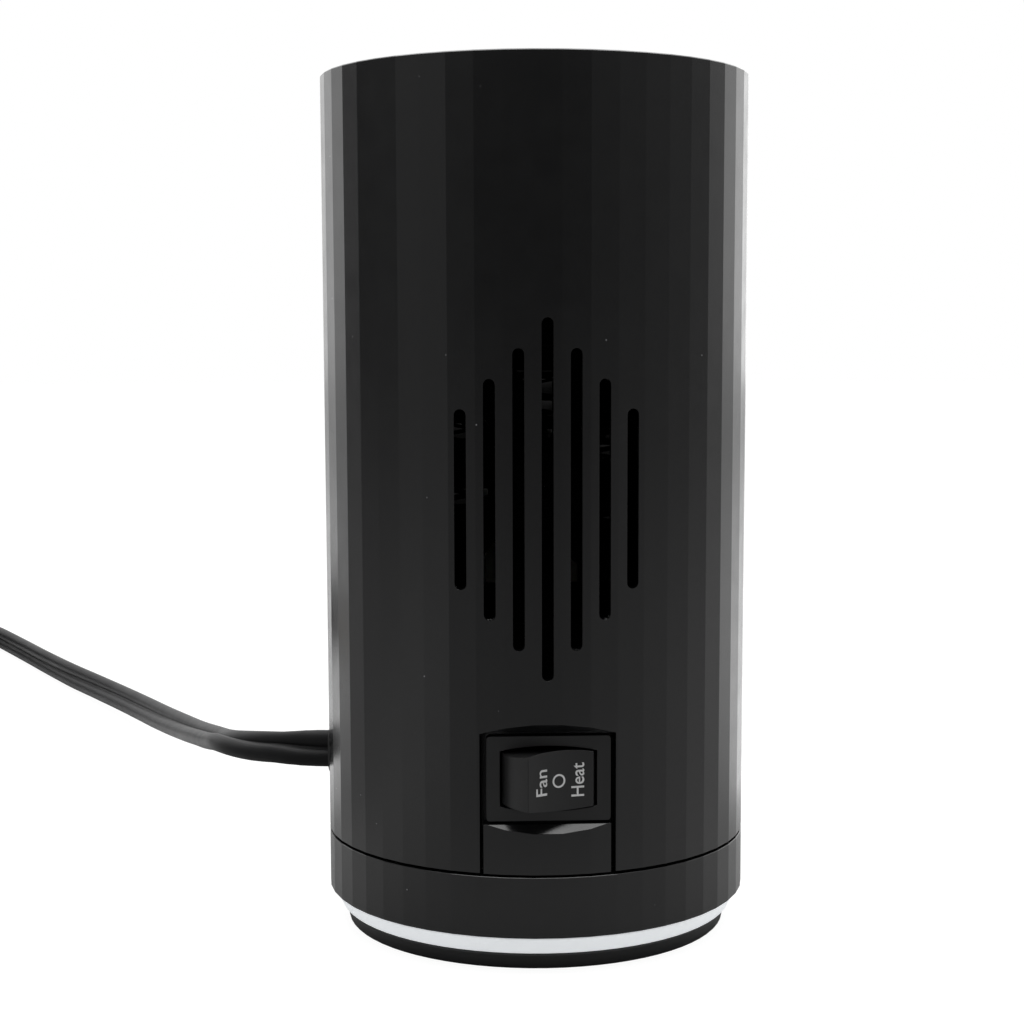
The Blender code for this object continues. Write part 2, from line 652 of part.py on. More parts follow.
def make_heater(frame_finish, fin_finish, ceramic_finish, electrode_finish):
    """The heating stack: aluminium fins on both sides of ceramic bars, held in a square frame."""
    rear, front = 9 * MM, 20 * MM
    half = FRAME_SIDE / 2
    window = 20.5 * MM
    outline = rounded_rectangle(2 * half, 2 * half, 2 * MM, (0, FAN_HEIGHT))
    frame = place("heater_frame", prism(outline, "Y", rear, front), frame_finish)
    opening = box_outline((-window, FAN_HEIGHT - window), (window, FAN_HEIGHT + window))
    cut(frame, prism(opening, "Y", rear - 2 * MM, front + 2 * MM), "heater_window")
    fin_half = 5.2 * MM
    tall = window - GAP
    for i in range(3):
        middle = (i - 1) * 15 * MM
        place(f"fin_pack_{i + 1}", prism(fin_outline(middle, fin_half, tall), "Y", rear + 1 * MM, front - 1 * MM),
              fin_finish, smooth_angle=0)
    for i, side in enumerate((-1, 1)):
        middle = side * 7.5 * MM
        bar = box((middle - 1.2 * MM, rear + 1.5 * MM, FAN_HEIGHT - tall + 0.5 * MM),
                  (middle + 1.2 * MM, front - 1.5 * MM, FAN_HEIGHT + tall - 0.5 * MM))
        place(f"ptc_bar_{i + 1}", bar, ceramic_finish, smooth_angle=0)
        for k, offset in enumerate((-1.75 * MM, 1.75 * MM)):
            x = middle + offset
            plate = box((x - 0.25 * MM, rear + 1.2 * MM, FAN_HEIGHT - tall), (x + 0.25 * MM, front - 1.2 * MM, FAN_HEIGHT + tall))
            place(f"electrode_{2 * i + k + 1}", plate, electrode_finish, smooth_angle=0)


def fin_outline(middle, half_width, half_height):
    """A zigzag strip that fills a tall rectangle, seen along Y: the left chain going up, the right one down."""
    folds = 26
    strip = 1.6 * MM
    left, right = [], []
    for i in range(folds + 1):
        z = FAN_HEIGHT - half_height + 2 * half_height * i / folds
        x = middle + (half_width - strip if i % 2 else -half_width)
        left.append((x, z))
        right.append((x + strip, z))
    return left + right[::-1]


def make_safety_devices(case_finish, lead_finish):
    top = FAN_HEIGHT + FRAME_SIDE / 2 + GAP + DUCT_WALL + GAP
    profile = [
        (0, top), (7.5 * MM, top), (7.5 * MM, top + 1.2 * MM), (6 * MM, top + 1.2 * MM),
        (6 * MM, top + 6 * MM), (5.5 * MM, top + 6.5 * MM), (0, top + 6.5 * MM),
    ]
    place("thermostat", turned(profile, "Z", (-6 * MM, 8 * MM), 32), case_finish)
    fuse = [
        (0, 2 * MM), (0.5 * MM, 2 * MM), (0.5 * MM, 5 * MM), (1.7 * MM, 5.6 * MM), (1.7 * MM, 14 * MM),
        (0.5 * MM, 14.6 * MM), (0.5 * MM, 18 * MM), (0, 18 * MM),
    ]
    place("thermal_fuse", turned(fuse, "Y", (10 * MM, top + 1.8 * MM), 16), lead_finish)


def make_control_board(board_finish, capacitor_finish, rectifier_finish):
    board_low, board_high = (-17 * MM, 22 * MM, 11.7 * MM), (17 * MM, 23.6 * MM, 46 * MM)
    place("control_board", box(board_low, board_high), board_finish, smooth_angle=0)
    front = board_high[1] + GAP
    capacitor = place("film_capacitor", box((-9 * MM, front, 17 * MM), (9 * MM, front + 6 * MM, 30 * MM)),
                      capacitor_finish, smooth_angle=0)
    bevel(capacitor, 0.6 * MM, 2)
    rectifier = place("rectifier", box((-5 * MM, front, 34 * MM), (5 * MM, front + 3 * MM, 43 * MM)),
                      rectifier_finish, smooth_angle=0)
    bevel(rectifier, 0.4 * MM)


def make_tip_over_switch(guide_finish, plunger_finish, spring_finish, switch_finish, lever_finish):
    x, y = PLUNGER_AT
    guide = place("plunger_guide", box((x - 7.5 * MM, y - 2.8 * MM, 11.6 * MM), (x + 7.5 * MM, y + 2.8 * MM, 23.5 * MM)),
                  guide_finish, smooth_angle=0)
    cut(guide, box((x - 5.3 * MM, y - 9 * MM, 8 * MM), (x + 5.3 * MM, y + 9 * MM, 22 * MM)), "guide_window")
    cut(guide, prism(circle(2.0 * MM, 16, PLUNGER_AT), "Z", 20 * MM, 25 * MM), "guide_hole")
    profile = [
        (0, 0.3 * MM), (3.4 * MM, 0.3 * MM), (3.9 * MM, 0.8 * MM), (3.9 * MM, 2.5 * MM), (2.4 * MM, 2.5 * MM),
        (2.4 * MM, 14.7 * MM), (4.2 * MM, 14.7 * MM), (4.2 * MM, 15.7 * MM), (1.6 * MM, 15.7 * MM), (1.6 * MM, 25.8 * MM),
        (1.0 * MM, 27.0 * MM), (0, 27.0 * MM),
    ]
    place("tip_plunger", turned(profile, "Z", PLUNGER_AT, 24), plunger_finish)
    make_spring(spring_finish)
    body = place("tip_switch", box((1 * MM, y - 2.9 * MM, 28.6 * MM), (13.8 * MM, y + 2.9 * MM, 35.1 * MM)),
                 switch_finish, smooth_angle=0)
    join(body, box((5 * MM, y - 1 * MM, 28.1 * MM), (7 * MM, y + 1 * MM, 29.5 * MM)), "switch_button")
    pivot_x, _, pivot_z = LEVER_PIVOT
    half = 0.25 * MM
    outline = [
        (pivot_x + 0.4 * MM, pivot_z - half), (pivot_x + 0.4 * MM, pivot_z + half), (-2 * MM, pivot_z + half),
        (-3 * MM, pivot_z + half + 0.5 * MM), (-3.2 * MM, pivot_z + 0.2 * MM), (-2.1 * MM, pivot_z - half),
    ]
    lever = prism(outline, "Y", y - 1.6 * MM, y + 1.6 * MM)
    place("tip_switch_lever", lever, lever_finish, 0, LEVER_PIVOT)


def make_spring(finish):
    """The plunger's return spring, between its collar and the guide's bridge."""
    x, y = PLUNGER_AT
    low, high, radius, wire, turns, steps = 16.3 * MM, 21.4 * MM, 3.0 * MM, 0.3 * MM, 4.5, 10
    curve = bpy.data.curves.new("plunger_spring", "CURVE")
    curve.dimensions = "3D"
    curve.bevel_depth = wire
    curve.bevel_resolution = 1
    curve.use_fill_caps = True
    spline = curve.splines.new("POLY")
    count = int(turns * steps) + 1
    spline.points.add(count - 1)
    for i in range(count):
        angle = math.tau * turns * i / (count - 1)
        z = low + (high - low) * i / (count - 1)
        spline.points[i].co = (x + radius * math.cos(angle), y + radius * math.sin(angle), z, 1)
    spring = bpy.data.objects.new("plunger_spring", curve)
    curve.materials.append(finish)
    bpy.context.scene.collection.objects.link(spring)


def make_strain_relief(finish):
    """A bush through the housing's side, with a clamp block inside it and a flat slot for the lead."""
    neck = along_exit(rounded_rectangle(5.6 * MM, 9.0 * MM, 2.7 * MM), 31 * MM, 38.8 * MM)
    relief = place("strain_relief", neck, finish, smooth_angle=30)
    block = along_exit(rounded_rectangle(9 * MM, 12.5 * MM, 1.5 * MM), 24 * MM, 33.2 * MM)
    join(relief, block, "clamp_block")
    slot = along_exit(rounded_rectangle(3.9 * MM, 7.4 * MM, 1.9 * MM), 20 * MM, 42 * MM)
    cut(relief, slot, "lead_slot")
    return relief


def smooth_route(points, spacing):
    """Points at an even spacing along a Catmull-Rom curve through the given ones."""
    knots = [Vector(p) for p in points]
    knots = [2 * knots[0] - knots[1]] + knots + [2 * knots[-1] - knots[-2]]
    fine = []
    for a, b, c, d in zip(knots, knots[1:], knots[2:], knots[3:]):
        for i in range(24):
            t = i / 24
            fine.append(0.5 * (2 * b + (c - a) * t + (2 * a - 5 * b + 4 * c - d) * t * t + (3 * b - a - 3 * c + d) * t ** 3))
    fine.append(knots[-2])
    lengths = [0.0]
    for a, b in zip(fine, fine[1:]):
        lengths.append(lengths[-1] + (b - a).length)
    count = max(2, round(lengths[-1] / spacing) + 1)
    even, at = [], 0
    for i in range(count):
        target = lengths[-1] * i / (count - 1)
        while at < len(fine) - 2 and lengths[at + 1] < target:
            at += 1
        span = lengths[at + 1] - lengths[at]
        even.append(fine[at].lerp(fine[at + 1], (target - lengths[at]) / span))
    return even


def make_tube(name, points, radius, finish, resolution=2):
    curve = bpy.data.curves.new(name, "CURVE")
    curve.dimensions = "3D"
    curve.bevel_depth = radius
    curve.bevel_resolution = resolution
    curve.use_fill_caps = True
    spline = curve.splines.new("POLY")
    spline.points.add(len(points) - 1)
    for point, target in zip(spline.points, points):
        point.co = (*target, 1)
    curve.materials.append(finish)
    made = bpy.data.objects.new(name, curve)
    bpy.context.scene.collection.objects.link(made)
    return made


def make_wires(finishes):
    """The leads between the cord, the switch, the board and the heater."""
    routes = {
        "wire_live": [(-22.5, 2.5, 31.2), (-19, -1, 31.5), (-14, -9, 32.5), (-9, -14, 33.4), (-6.3, -17.4, 33.6)],
        "wire_neutral": [(-22.5, 5.5, 27.6), (-18, 9, 26), (-14.5, 13, 23), (-13.5, 17, 20), (-13, 21.2, 18)],
        "wire_heater": [(6.7, -17.4, 33.6), (9, -12, 36), (12, -4, 42), (13, 4, 47), (13, 10, 51.5)],
        "wire_fan": [(0.2, -17.4, 33.6), (-2, -8, 38), (-5, 2, 42), (-8, 12, 43.5), (-10, 21.2, 43)],
    }
    for (name, route), finish in zip(routes.items(), finishes):
        points = smooth_route([Vector(p) * MM for p in route], 2.5 * MM)
        make_tube(name, points, 0.9 * MM, finish, resolution=1)


def make_cord(finish, tie_finish, plug_finish, blade_finish):
    """The lead down to the floor and back to a coil that is kept together by a tie, and its two-blade plug."""
    route = smooth_route([Vector(p) * MM for p in CORD_ROUTE_MM], 2.2 * CORD_WIDTH * 0.45)
    make_tube("power_cord", route, CORD_WIDTH / 2, finish)
    coil = [
        (COIL_INNER, COIL_BOTTOM), (COIL_OUTER, COIL_BOTTOM), (COIL_OUTER, COIL_TOP), (COIL_INNER, COIL_TOP),
    ]
    place("cord_coil", turned(coil, "Z", COIL_CENTRE, 48), finish)
    x, y, z = PLUG_AT
    tail = [(x, y + 58 * MM, 11.0 * MM), (x, y + 48 * MM, 9.6 * MM), (x, y + 38 * MM, 8.2 * MM), (x, y + 26 * MM, 7.3 * MM)]
    start_y = COIL_CENTRE[1]
    away = [(x - 4.3 * MM, start_y - 18 * MM, 11.4 * MM)]
    tail_points = smooth_route(away + tail[1:], 7 * MM)
    make_tube("cord_tail", tail_points, CORD_WIDTH / 2 - 0.3 * MM, finish)
    make_cord_tie(tie_finish)
    make_plug(plug_finish, blade_finish)


def make_cord_tie(finish):
    """A twist tie round the coil's turns, at the side away from the housing."""
    angle = math.radians(-60)
    middle = (COIL_INNER + COIL_OUTER) / 2
    wide = COIL_OUTER - COIL_INNER + 2 * GAP
    tall = COIL_TOP - COIL_BOTTOM + 2 * GAP
    centre = (0, (COIL_TOP + COIL_BOTTOM) / 2)
    thickness = 0.8 * MM
    outer = rounded_rectangle(wide + 2 * thickness, tall + 2 * thickness, 2 * MM, centre)
    inner = rounded_rectangle(wide, tall, 0.1 * MM, centre, 1)
    outer = [(a, max(b, 0.0)) for a, b in outer]
    place_tie = Matrix.Translation((*COIL_CENTRE, 0)) @ Matrix.Rotation(angle, 4, "Z") @ Matrix.Translation((middle, 0, 0))
    band = prism(outer, "Y", -2 * MM, 2 * MM)
    bmesh.ops.transform(band, matrix=place_tie, verts=band.verts)
    tie = place("cord_tie", band, finish, smooth_angle=30)
    hollow = prism(inner, "Y", -6 * MM, 6 * MM)
    bmesh.ops.transform(hollow, matrix=place_tie, verts=hollow.verts)
    cut(tie, hollow, "tie_hollow")
    return tie


def make_plug(finish, blade_finish):
    """A flat two-blade mains plug lying on its wide side, with one blade wider than the other."""
    x, y, z = PLUG_AT
    length, half_width, half_height = 30 * MM, 12 * MM, 6.9 * MM
    front, back = y - length / 2, y + length / 2 + 8 * MM
    outline = [
        (x - half_width + 1 * MM, front), (x + half_width - 1 * MM, front), (x + half_width, front + 1 * MM),
        (x + half_width, front + 15 * MM), (x + half_width - 3 * MM, front + 24 * MM), (x + 5.5 * MM, back - 2 * MM),
        (x + 5.5 * MM, back), (x - 5.5 * MM, back), (x - 5.5 * MM, back - 2 * MM),
        (x - half_width + 3 * MM, front + 24 * MM), (x - half_width, front + 15 * MM), (x - half_width, front + 1 * MM),
    ]
    body = place("plug_body", prism(outline, "Z", z - half_height, z + half_height), finish, smooth_angle=30)
    bevel(body, 1.2 * MM, 2, 50)
    for name, side, width in (("plug_blade_wide", -1, 7.9 * MM), ("plug_blade_narrow", 1, 6.35 * MM)):
        blade_x = x + side * 6.35 * MM
        low = (blade_x - 0.75 * MM, front - GAP - 17 * MM, z - width / 2)
        high = (blade_x + 0.75 * MM, front - GAP, z + width / 2)
        blade = place(name, box(low, high), blade_finish, smooth_angle=0)
        bevel(blade, 0.3 * MM)


def main():
    clear_scene()
    black = material("black_plastic", (0.018, 0.018, 0.019), 0.38)
    satin = material("satin_black_plastic", (0.016, 0.016, 0.017), 0.5)
    white = material("white_plastic", (0.85, 0.87, 0.89), 0.35)
    rubber = material("black_rubber", (0.03, 0.03, 0.03), 0.8)
    nylon = material("black_nylon", (0.02, 0.02, 0.021), 0.55)
    steel = material("bright_steel", (0.62, 0.62, 0.62), 0.3, 1.0)
    brass = material("brass", (0.75, 0.58, 0.3), 0.35, 1.0)
    aluminium = material("aluminium", (0.78, 0.79, 0.8), 0.35, 1.0)
    ceramic = material("ceramic", (0.8, 0.76, 0.68), 0.6)
    board = material("circuit_board", (0.05, 0.22, 0.1), 0.5)
    capacitor = material("capacitor_case", (0.6, 0.42, 0.08), 0.4)
    cord = material("cord_pvc", (0.022, 0.022, 0.023), 0.42)
    wire_white = material("wire_white", (0.75, 0.75, 0.73), 0.5)
    wire_red = material("wire_red", (0.5, 0.03, 0.03), 0.5)
    make_shell(black)
    make_top_cap(satin)
    make_grille(satin)
    make_skirt(black)
    make_accent_ring(white)
    make_base_plate(satin)
    make_feet(rubber)
    make_base_screws(steel)
    make_inner_frame(nylon)
    make_switch_panel(black)
    make_switch_housing(satin)
    make_rocker(satin)
    make_switch_terminals(brass)
    make_fan_frame(nylon)
    make_impeller(satin)
    make_motor(steel, steel)
    make_heater(nylon, aluminium, ceramic, aluminium)
    make_safety_devices(satin, steel)
    make_control_board(board, capacitor, satin)
    make_tip_over_switch(nylon, satin, steel, satin, steel)
    make_strain_relief(rubber)
    make_wires((satin, wire_white, wire_red, satin))
    make_cord(cord, rubber, cord, brass)


main()
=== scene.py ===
"""Looks for a small ceramic heater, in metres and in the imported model's frame.

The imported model's parts get rounded edges and moulded finishes. The rocker gets its printed legends, and
the flat twin lead is drawn at full length. All of it stands in a white studio.
"""

import json
import math

import bmesh
import bpy
from mathutils import Matrix, Vector

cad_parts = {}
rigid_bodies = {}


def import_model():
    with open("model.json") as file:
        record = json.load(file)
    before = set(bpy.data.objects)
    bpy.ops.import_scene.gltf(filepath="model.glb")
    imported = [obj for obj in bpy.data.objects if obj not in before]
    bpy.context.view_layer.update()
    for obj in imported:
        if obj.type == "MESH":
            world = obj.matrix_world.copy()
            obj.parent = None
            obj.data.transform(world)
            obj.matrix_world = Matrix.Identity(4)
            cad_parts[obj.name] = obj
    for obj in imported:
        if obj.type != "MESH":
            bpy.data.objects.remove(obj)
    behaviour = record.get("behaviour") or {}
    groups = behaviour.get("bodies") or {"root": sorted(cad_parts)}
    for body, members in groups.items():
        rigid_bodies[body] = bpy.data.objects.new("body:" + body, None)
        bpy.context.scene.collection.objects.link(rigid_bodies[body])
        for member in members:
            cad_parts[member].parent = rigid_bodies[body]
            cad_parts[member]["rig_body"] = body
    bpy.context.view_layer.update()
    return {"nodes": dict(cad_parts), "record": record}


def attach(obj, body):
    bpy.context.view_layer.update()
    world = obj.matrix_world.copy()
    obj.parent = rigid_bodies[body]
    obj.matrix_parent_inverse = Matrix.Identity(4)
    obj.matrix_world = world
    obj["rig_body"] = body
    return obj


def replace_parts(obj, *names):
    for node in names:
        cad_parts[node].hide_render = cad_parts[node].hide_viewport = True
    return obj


MM = 0.001

# Camera, where the photograph was taken from
CAMERA_AT = (-19.75 * MM, -353.3 * MM, 107.76 * MM)
CAMERA_TURN = math.radians(2.52)
CAMERA_DIP = math.radians(5.28)
CAMERA_ROLL = math.radians(-0.16)
LENS_MM = 67.88
SENSOR_MM = 36.0
CAMERA_NEAR = 10 * MM

# Copies of the CAD parts. Edges sharper than EDGE_ANGLE are rounded, by the widths in VISIBLE_EDGES
WELD = 0.001 * MM
FLAT_ANGLE = math.radians(0.3)
EDGE_ANGLE = math.radians(32)
EDGE_SEGMENTS = 2
VISIBLE_EDGES = {
    "main_shell": 0.08 * MM,
    "base_skirt": 0.06 * MM,
    "switch_panel": 0.22 * MM,
    "switch_housing": 0.28 * MM,
    "rocker": 0.3 * MM,
    "top_cap": 0.3 * MM,
    "front_grille": 0.3 * MM,
    "accent_ring": 0.2 * MM,
    "base_plate": 0.2 * MM,
    "strain_relief": 0.3 * MM,
    "plug_body": 0.6 * MM,
}

# Shading is smooth over edges flatter than this, in degrees. Parts with flat facets need it low
SMOOTH_ANGLE = 30
FACET_SMOOTH_ANGLE = 4
FACETED = ("main_shell", "base_skirt", "switch_panel", "top_cap", "front_grille")
LEAD_SMOOTH_ANGLE = 50

# Parts seen through the slots and in the outlet, given a near-black, mirror-free finish whatever their
# material slot: painted shade for the shade inside the housing. The front grille is black plastic, painted
# darker still and without glints
PAINTED_SHADE_PARTS = (
    "impeller", "motor_shaft", "fan_frame", "inner_frame", "heater_frame",
    "fin_pack_1", "fin_pack_2", "fin_pack_3",
)
PAINTED_SHADE_FINISH = {node: "inside" for node in PAINTED_SHADE_PARTS} | {"front_grille": "outlet"}

# Moulded finishes
FLOW_SIZE = 14 * MM
FLOW_STRETCH = (1, 1, 0.35)
PATCH_SIZE = 5 * MM
ROUGHNESS_SWING = 0.025
WAVE_SIZE = 22 * MM
DUST_SPACING = 4.2 * MM
DUST_RADIUS = 0.11 * MM
DUST_COLOUR = (0.3, 0.3, 0.31, 1)
DUST_ROUGHNESS = 0.9
# Painted light: the emission strength of the glow painted on the white ring, which is no lamp
RING_PAINTED_GLOW = 0.44

# Rocker, as in the CAD source
ROCKER_PIVOT = (0.2 * MM, -34.3 * MM, 33.6 * MM)
ROCKER_TILT = math.radians(22)
ROCKER_END_RADIUS = 7.9 * MM
ROCKER_RIDGE_ANGLE = math.radians(40.5)
ROCKER_HOLLOW = 1.0 * MM

# Legends, printed on the rocker's face. Each is placed by how far it is across from the middle
LEGEND_PROUD = 0.03 * MM
LEGEND_CAP_HEIGHT = 2.2 * MM
LEGEND_BOLD = 0.007
LEGEND_FAN_LENGTH = 4.4 * MM
LEGEND_FAN_ACROSS = -3.25 * MM
LEGEND_HEAT_LENGTH = 5.7 * MM
LEGEND_HEAT_ACROSS = 3.4 * MM
LEGEND_OFF_OUTER = 1.17 * MM
LEGEND_OFF_INNER = 0.86 * MM
LEGEND_OFF_ACROSS = 0.05 * MM

# Lead: a flat twin, wider than it is thick
LEAD_WIDTH = 6.9 * MM
LEAD_THICKNESS = 3.5 * MM
LEAD_CORE_HALF_ARC = math.radians(152)
LEAD_RIB = 0.1 * MM
LEAD_SPACING = 2.8 * MM
LEAD_ROUTE_MM = [
    (-35.4, 6.25, 29.9),
    (-39.4, 7.0, 29.9), (-43.2, 8.0, 29.75), (-47.6, 10.3, 29.45), (-52.0, 13.7, 29.0),
    (-55.6, 18.0, 28.5), (-58.5, 23.0, 27.9), (-60.8, 30.0, 26.8), (-64.0, 47.0, 23.5),
    (-69.0, 70.0, 19.5), (-74.8, 95.0, 15.3), (-81.2, 120.0, 11.6), (-88.7, 145.0, 8.5),
    (-97.3, 170.0, 6.2), (-107.0, 193.5, 4.8), (-118.2, 216.5, 4.1), (-129.5, 238.0, 3.85),
    (-141.4, 261.5, 3.8), (-154.0, 287.0, 3.8), (-166.8, 312.4, 3.8), (-170.7, 318.5, 3.85),
    (-174.3, 322.7, 3.9), (-178.0, 325.9, 4.0), (-184.9, 330.4, 4.2), (-196.5, 334.5, 4.3),
]

# How far the lead's width leans from upright: the metres from the housing or back from the plug, and degrees
LEAN_FROM_HOUSING = [(0.0, 4), (0.004, 20), (0.015, 56), (0.035, 82), (0.07, 74), (0.2, 38), (0.3, 4)]
LEAN_BACK_FROM_PLUG = [(0.06, 0), (0.006, 90), (0.0, 90)]

# Coil of the lead in two layers, its tie and its plug
COIL_CENTRE = (-218.6 * MM, 291.8 * MM)
COIL_ENTRY_RADIUS = 46.2 * MM
COIL_ENTRY_ANGLE = math.radians(77)
COIL_TURN = math.radians(1903)
COIL_STEP_TURN = math.radians(60)
COIL_INNER_RADIUS = 36.4 * MM
COIL_PITCH = 3.7 * MM
LAYER_HEIGHTS = (4.35 * MM, 11.65 * MM)
TIE_ANGLE = math.radians(-60)
TIE_WIDTH = 4 * MM
TIE_THICKNESS = 0.8 * MM
PLUG_X = -264.6 * MM
PLUG_BACK = 239 * MM
PLUG_Z = 7.2 * MM
PLUG_OVERLAP = 3 * MM
TAIL_STEPS = 7
TAIL_LEVEL_SHARE = 0.25

# Studio: the brightness that the object reflects from each level direction, in degrees from the camera's
# side towards +X. Higher up the sky adds to it, from nothing to SKY_GLOW over a range of the direction's Z
STUDIO_PEAK = 2.0
STUDIO_ROUND = [
    (-180, 1.3), (-134, 1.3), (-126, 0.9), (-120, 0.16), (-100, 0.11), (-88, 0.15), (-78, 0.36),
    (-54, 0.38), (-46, 0.18), (-30, 0.09), (15, 0.075), (32, 0.18), (66, 0.27), (104, 0.3),
    (112, 0.6), (125, 1.3), (142, 1.7), (156, 2.0), (180, 2.0),
]
SKY_GLOW = 0.25
SKY_RISE = (0.1, 0.35)
SOFT_BOX_AT = (0.0, 0.05, 1.0)
SOFT_BOX_SIZE = (1.0, 1.0)
SOFT_BOX_RADIANCE = 4.2

# Floor, as the object reflects it, with light and shade painted into its colour: FLOOR_NEAR_TONE up to the
# first distance in FLOOR_NEAR, and FLOOR_TONE plus a painted share of the studio's brightness in that
# direction from the second on, so it is darker, painted shade, towards the camera
FLOOR_RADIUS = 4.0
FLOOR_DROP = 0.05 * MM
FLOOR_SHARE = 0.5
FLOOR_TONE = 0.16
FLOOR_TONE_LIMIT = 0.9
FLOOR_NEAR = (0.07, 0.15)
FLOOR_NEAR_TONE = 0.34

# The same floor as the camera sees it: a white glow, and a pale tone that takes the object's shadow
FLOOR_SEEN_GLOW = 0.95
FLOOR_SEEN_COLOUR = (0.1, 0.1, 0.1, 1)

WHITE = (1, 1, 1, 1)


# Meshes


def body_of(node):
    return frame["nodes"][node]["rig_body"]


def slot_of(node):
    return SLOTS[node]


def add_piece(name, bm, finish, body, smooth_angle=SMOOTH_ANGLE):
    """A piece of this mesh, which is in the model's frame and rides on the body."""
    bmesh.ops.recalc_face_normals(bm, faces=bm.faces)
    mesh = bpy.data.meshes.new(name)
    bm.to_mesh(mesh)
    bm.free()
    mesh.shade_smooth()
    mesh.set_sharp_from_angle(angle=math.radians(smooth_angle))
    made = bpy.data.objects.new(name, mesh)
    made.data.materials.append(finish)
    bpy.context.scene.collection.objects.link(made)
    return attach(made, body)


def refine(node, finish, edge, smooth_angle):
    """A copy of a CAD node with its flat faces whole and its edges rounded, which replaces the node."""
    bm = bmesh.new()
    bm.from_mesh(frame["nodes"][node].data)
    bmesh.ops.remove_doubles(bm, verts=bm.verts, dist=WELD)
    bmesh.ops.dissolve_limit(bm, angle_limit=FLAT_ANGLE, verts=bm.verts, edges=bm.edges)
    made = add_piece(f"{node}_finish", bm, finish, body_of(node), smooth_angle)
    if edge:
        rounding = made.modifiers.new("rounding", "BEVEL")
        rounding.width = edge
        rounding.segments = EDGE_SEGMENTS
        rounding.limit_method = "ANGLE"
        rounding.angle_limit = EDGE_ANGLE
        rounding.harden_normals = True
    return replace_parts(made, node)


# Materials


def new_material(name):
    made = bpy.data.materials.new(name)
    made.use_nodes = True
    return made, made.node_tree, made.node_tree.nodes["Principled BSDF"]


def add_node(tree, kind, inputs=None, **settings):
    """A new node with these settings. Its inputs are linked to the sockets, or set to the values, given."""
    node = tree.nodes.new(kind)
    for key, value in settings.items():
        setattr(node, key, value)
    for key, value in (inputs or {}).items():
        if isinstance(value, bpy.types.NodeSocket):
            tree.links.new(value, node.inputs[key])
        else:
            node.inputs[key].default_value = value
    return node


def calculate(tree, operation, *values):
    """The result of a Math node on these numbers and sockets."""
    return add_node(tree, "ShaderNodeMath", dict(enumerate(values)), operation=operation).outputs[0]


def noise(tree, place, size, detail, stretch=(1, 1, 1)):
    """Noise whose lumps are about this size, in metres, longer along an axis whose stretch is under 1."""
    scaled = add_node(tree, "ShaderNodeMapping", {"Vector": place, "Scale": stretch})
    inputs = {"Vector": scaled.outputs[0], "Scale": 1 / size, "Detail": detail}
    return add_node(tree, "ShaderNodeTexNoise", inputs).outputs["Fac"]


def spread(tree, value, low, high):
    """The value's middle range, drawn out to run from low to high."""
    inputs = {"Value": value, "From Min": 0.3, "From Max": 0.7, "To Min": low, "To Max": high}
    return add_node(tree, "ShaderNodeMapRange", inputs).outputs["Result"]


def specks(tree, place, spacing, radius, share):
    """1 inside small round specks, of which only this share of the cells has one."""
    cells = add_node(tree, "ShaderNodeTexVoronoi", {"Vector": place, "Scale": 1 / spacing})
    inside = calculate(tree, "LESS_THAN", cells.outputs["Distance"], radius / spacing)
    parts = add_node(tree, "ShaderNodeSeparateColor", {0: cells.outputs["Color"]})
    chosen = calculate(tree, "LESS_THAN", parts.outputs[0], share)
    return calculate(tree, "MULTIPLY", inside, chosen)


def mix_colour(tree, share, first, second):
    mixed = add_node(tree, "ShaderNodeMix", {0: share, 6: first, 7: second}, data_type="RGBA")
    return mixed.outputs[2]


def mix_number(tree, share, first, second):
    return add_node(tree, "ShaderNodeMix", {0: share, 2: first, 3: second}).outputs[0]


def shade(colour, factor):
    return (*[channel * factor for channel in colour], 1.0)


def moulded(
    name, colour, roughness,
    grain=0.35 * MM, depth=0.004 * MM, mottle=0.12, dust=0.0, metallic=0.0, wave=0.0,
):
    """Moulded plastic, rubber or metal: flow marks, a fine grain and, if asked, dust and broad waves.

    grain and depth are the size and height of the surface grain, and wave is the height of the waves.
    mottle is how far the colour varies, as a share of itself. dust is the share of its cells with a speck.
    """
    made, tree, shader = new_material(name)
    place = add_node(tree, "ShaderNodeTexCoord").outputs["Object"]
    flow = noise(tree, place, FLOW_SIZE, 3.0, FLOW_STRETCH)
    tint = spread(tree, flow, 0.0, 1.0)
    base = mix_colour(tree, tint, shade(colour, 1 - mottle), shade(colour, 1 + mottle))
    patches = noise(tree, place, PATCH_SIZE, 4.0)
    rough = spread(tree, patches, roughness - ROUGHNESS_SWING, roughness + ROUGHNESS_SWING)
    if dust:
        speck = specks(tree, place, DUST_SPACING, DUST_RADIUS, dust)
        base = mix_colour(tree, speck, base, DUST_COLOUR)
        rough = mix_number(tree, speck, rough, DUST_ROUGHNESS)
    tree.links.new(base, shader.inputs["Base Color"])
    tree.links.new(rough, shader.inputs["Roughness"])
    shader.inputs["Metallic"].default_value = metallic
    fine = noise(tree, place, grain, 2.0)
    bump = add_node(tree, "ShaderNodeBump", {"Height": fine, "Distance": depth, "Strength": 1.0})
    if wave:
        broad = noise(tree, place, WAVE_SIZE, 1.0)
        inputs = {"Height": broad, "Distance": wave, "Strength": 1.0, "Normal": bump.outputs[0]}
        bump = add_node(tree, "ShaderNodeBump", inputs)
    tree.links.new(bump.outputs[0], shader.inputs["Normal"])
    return made


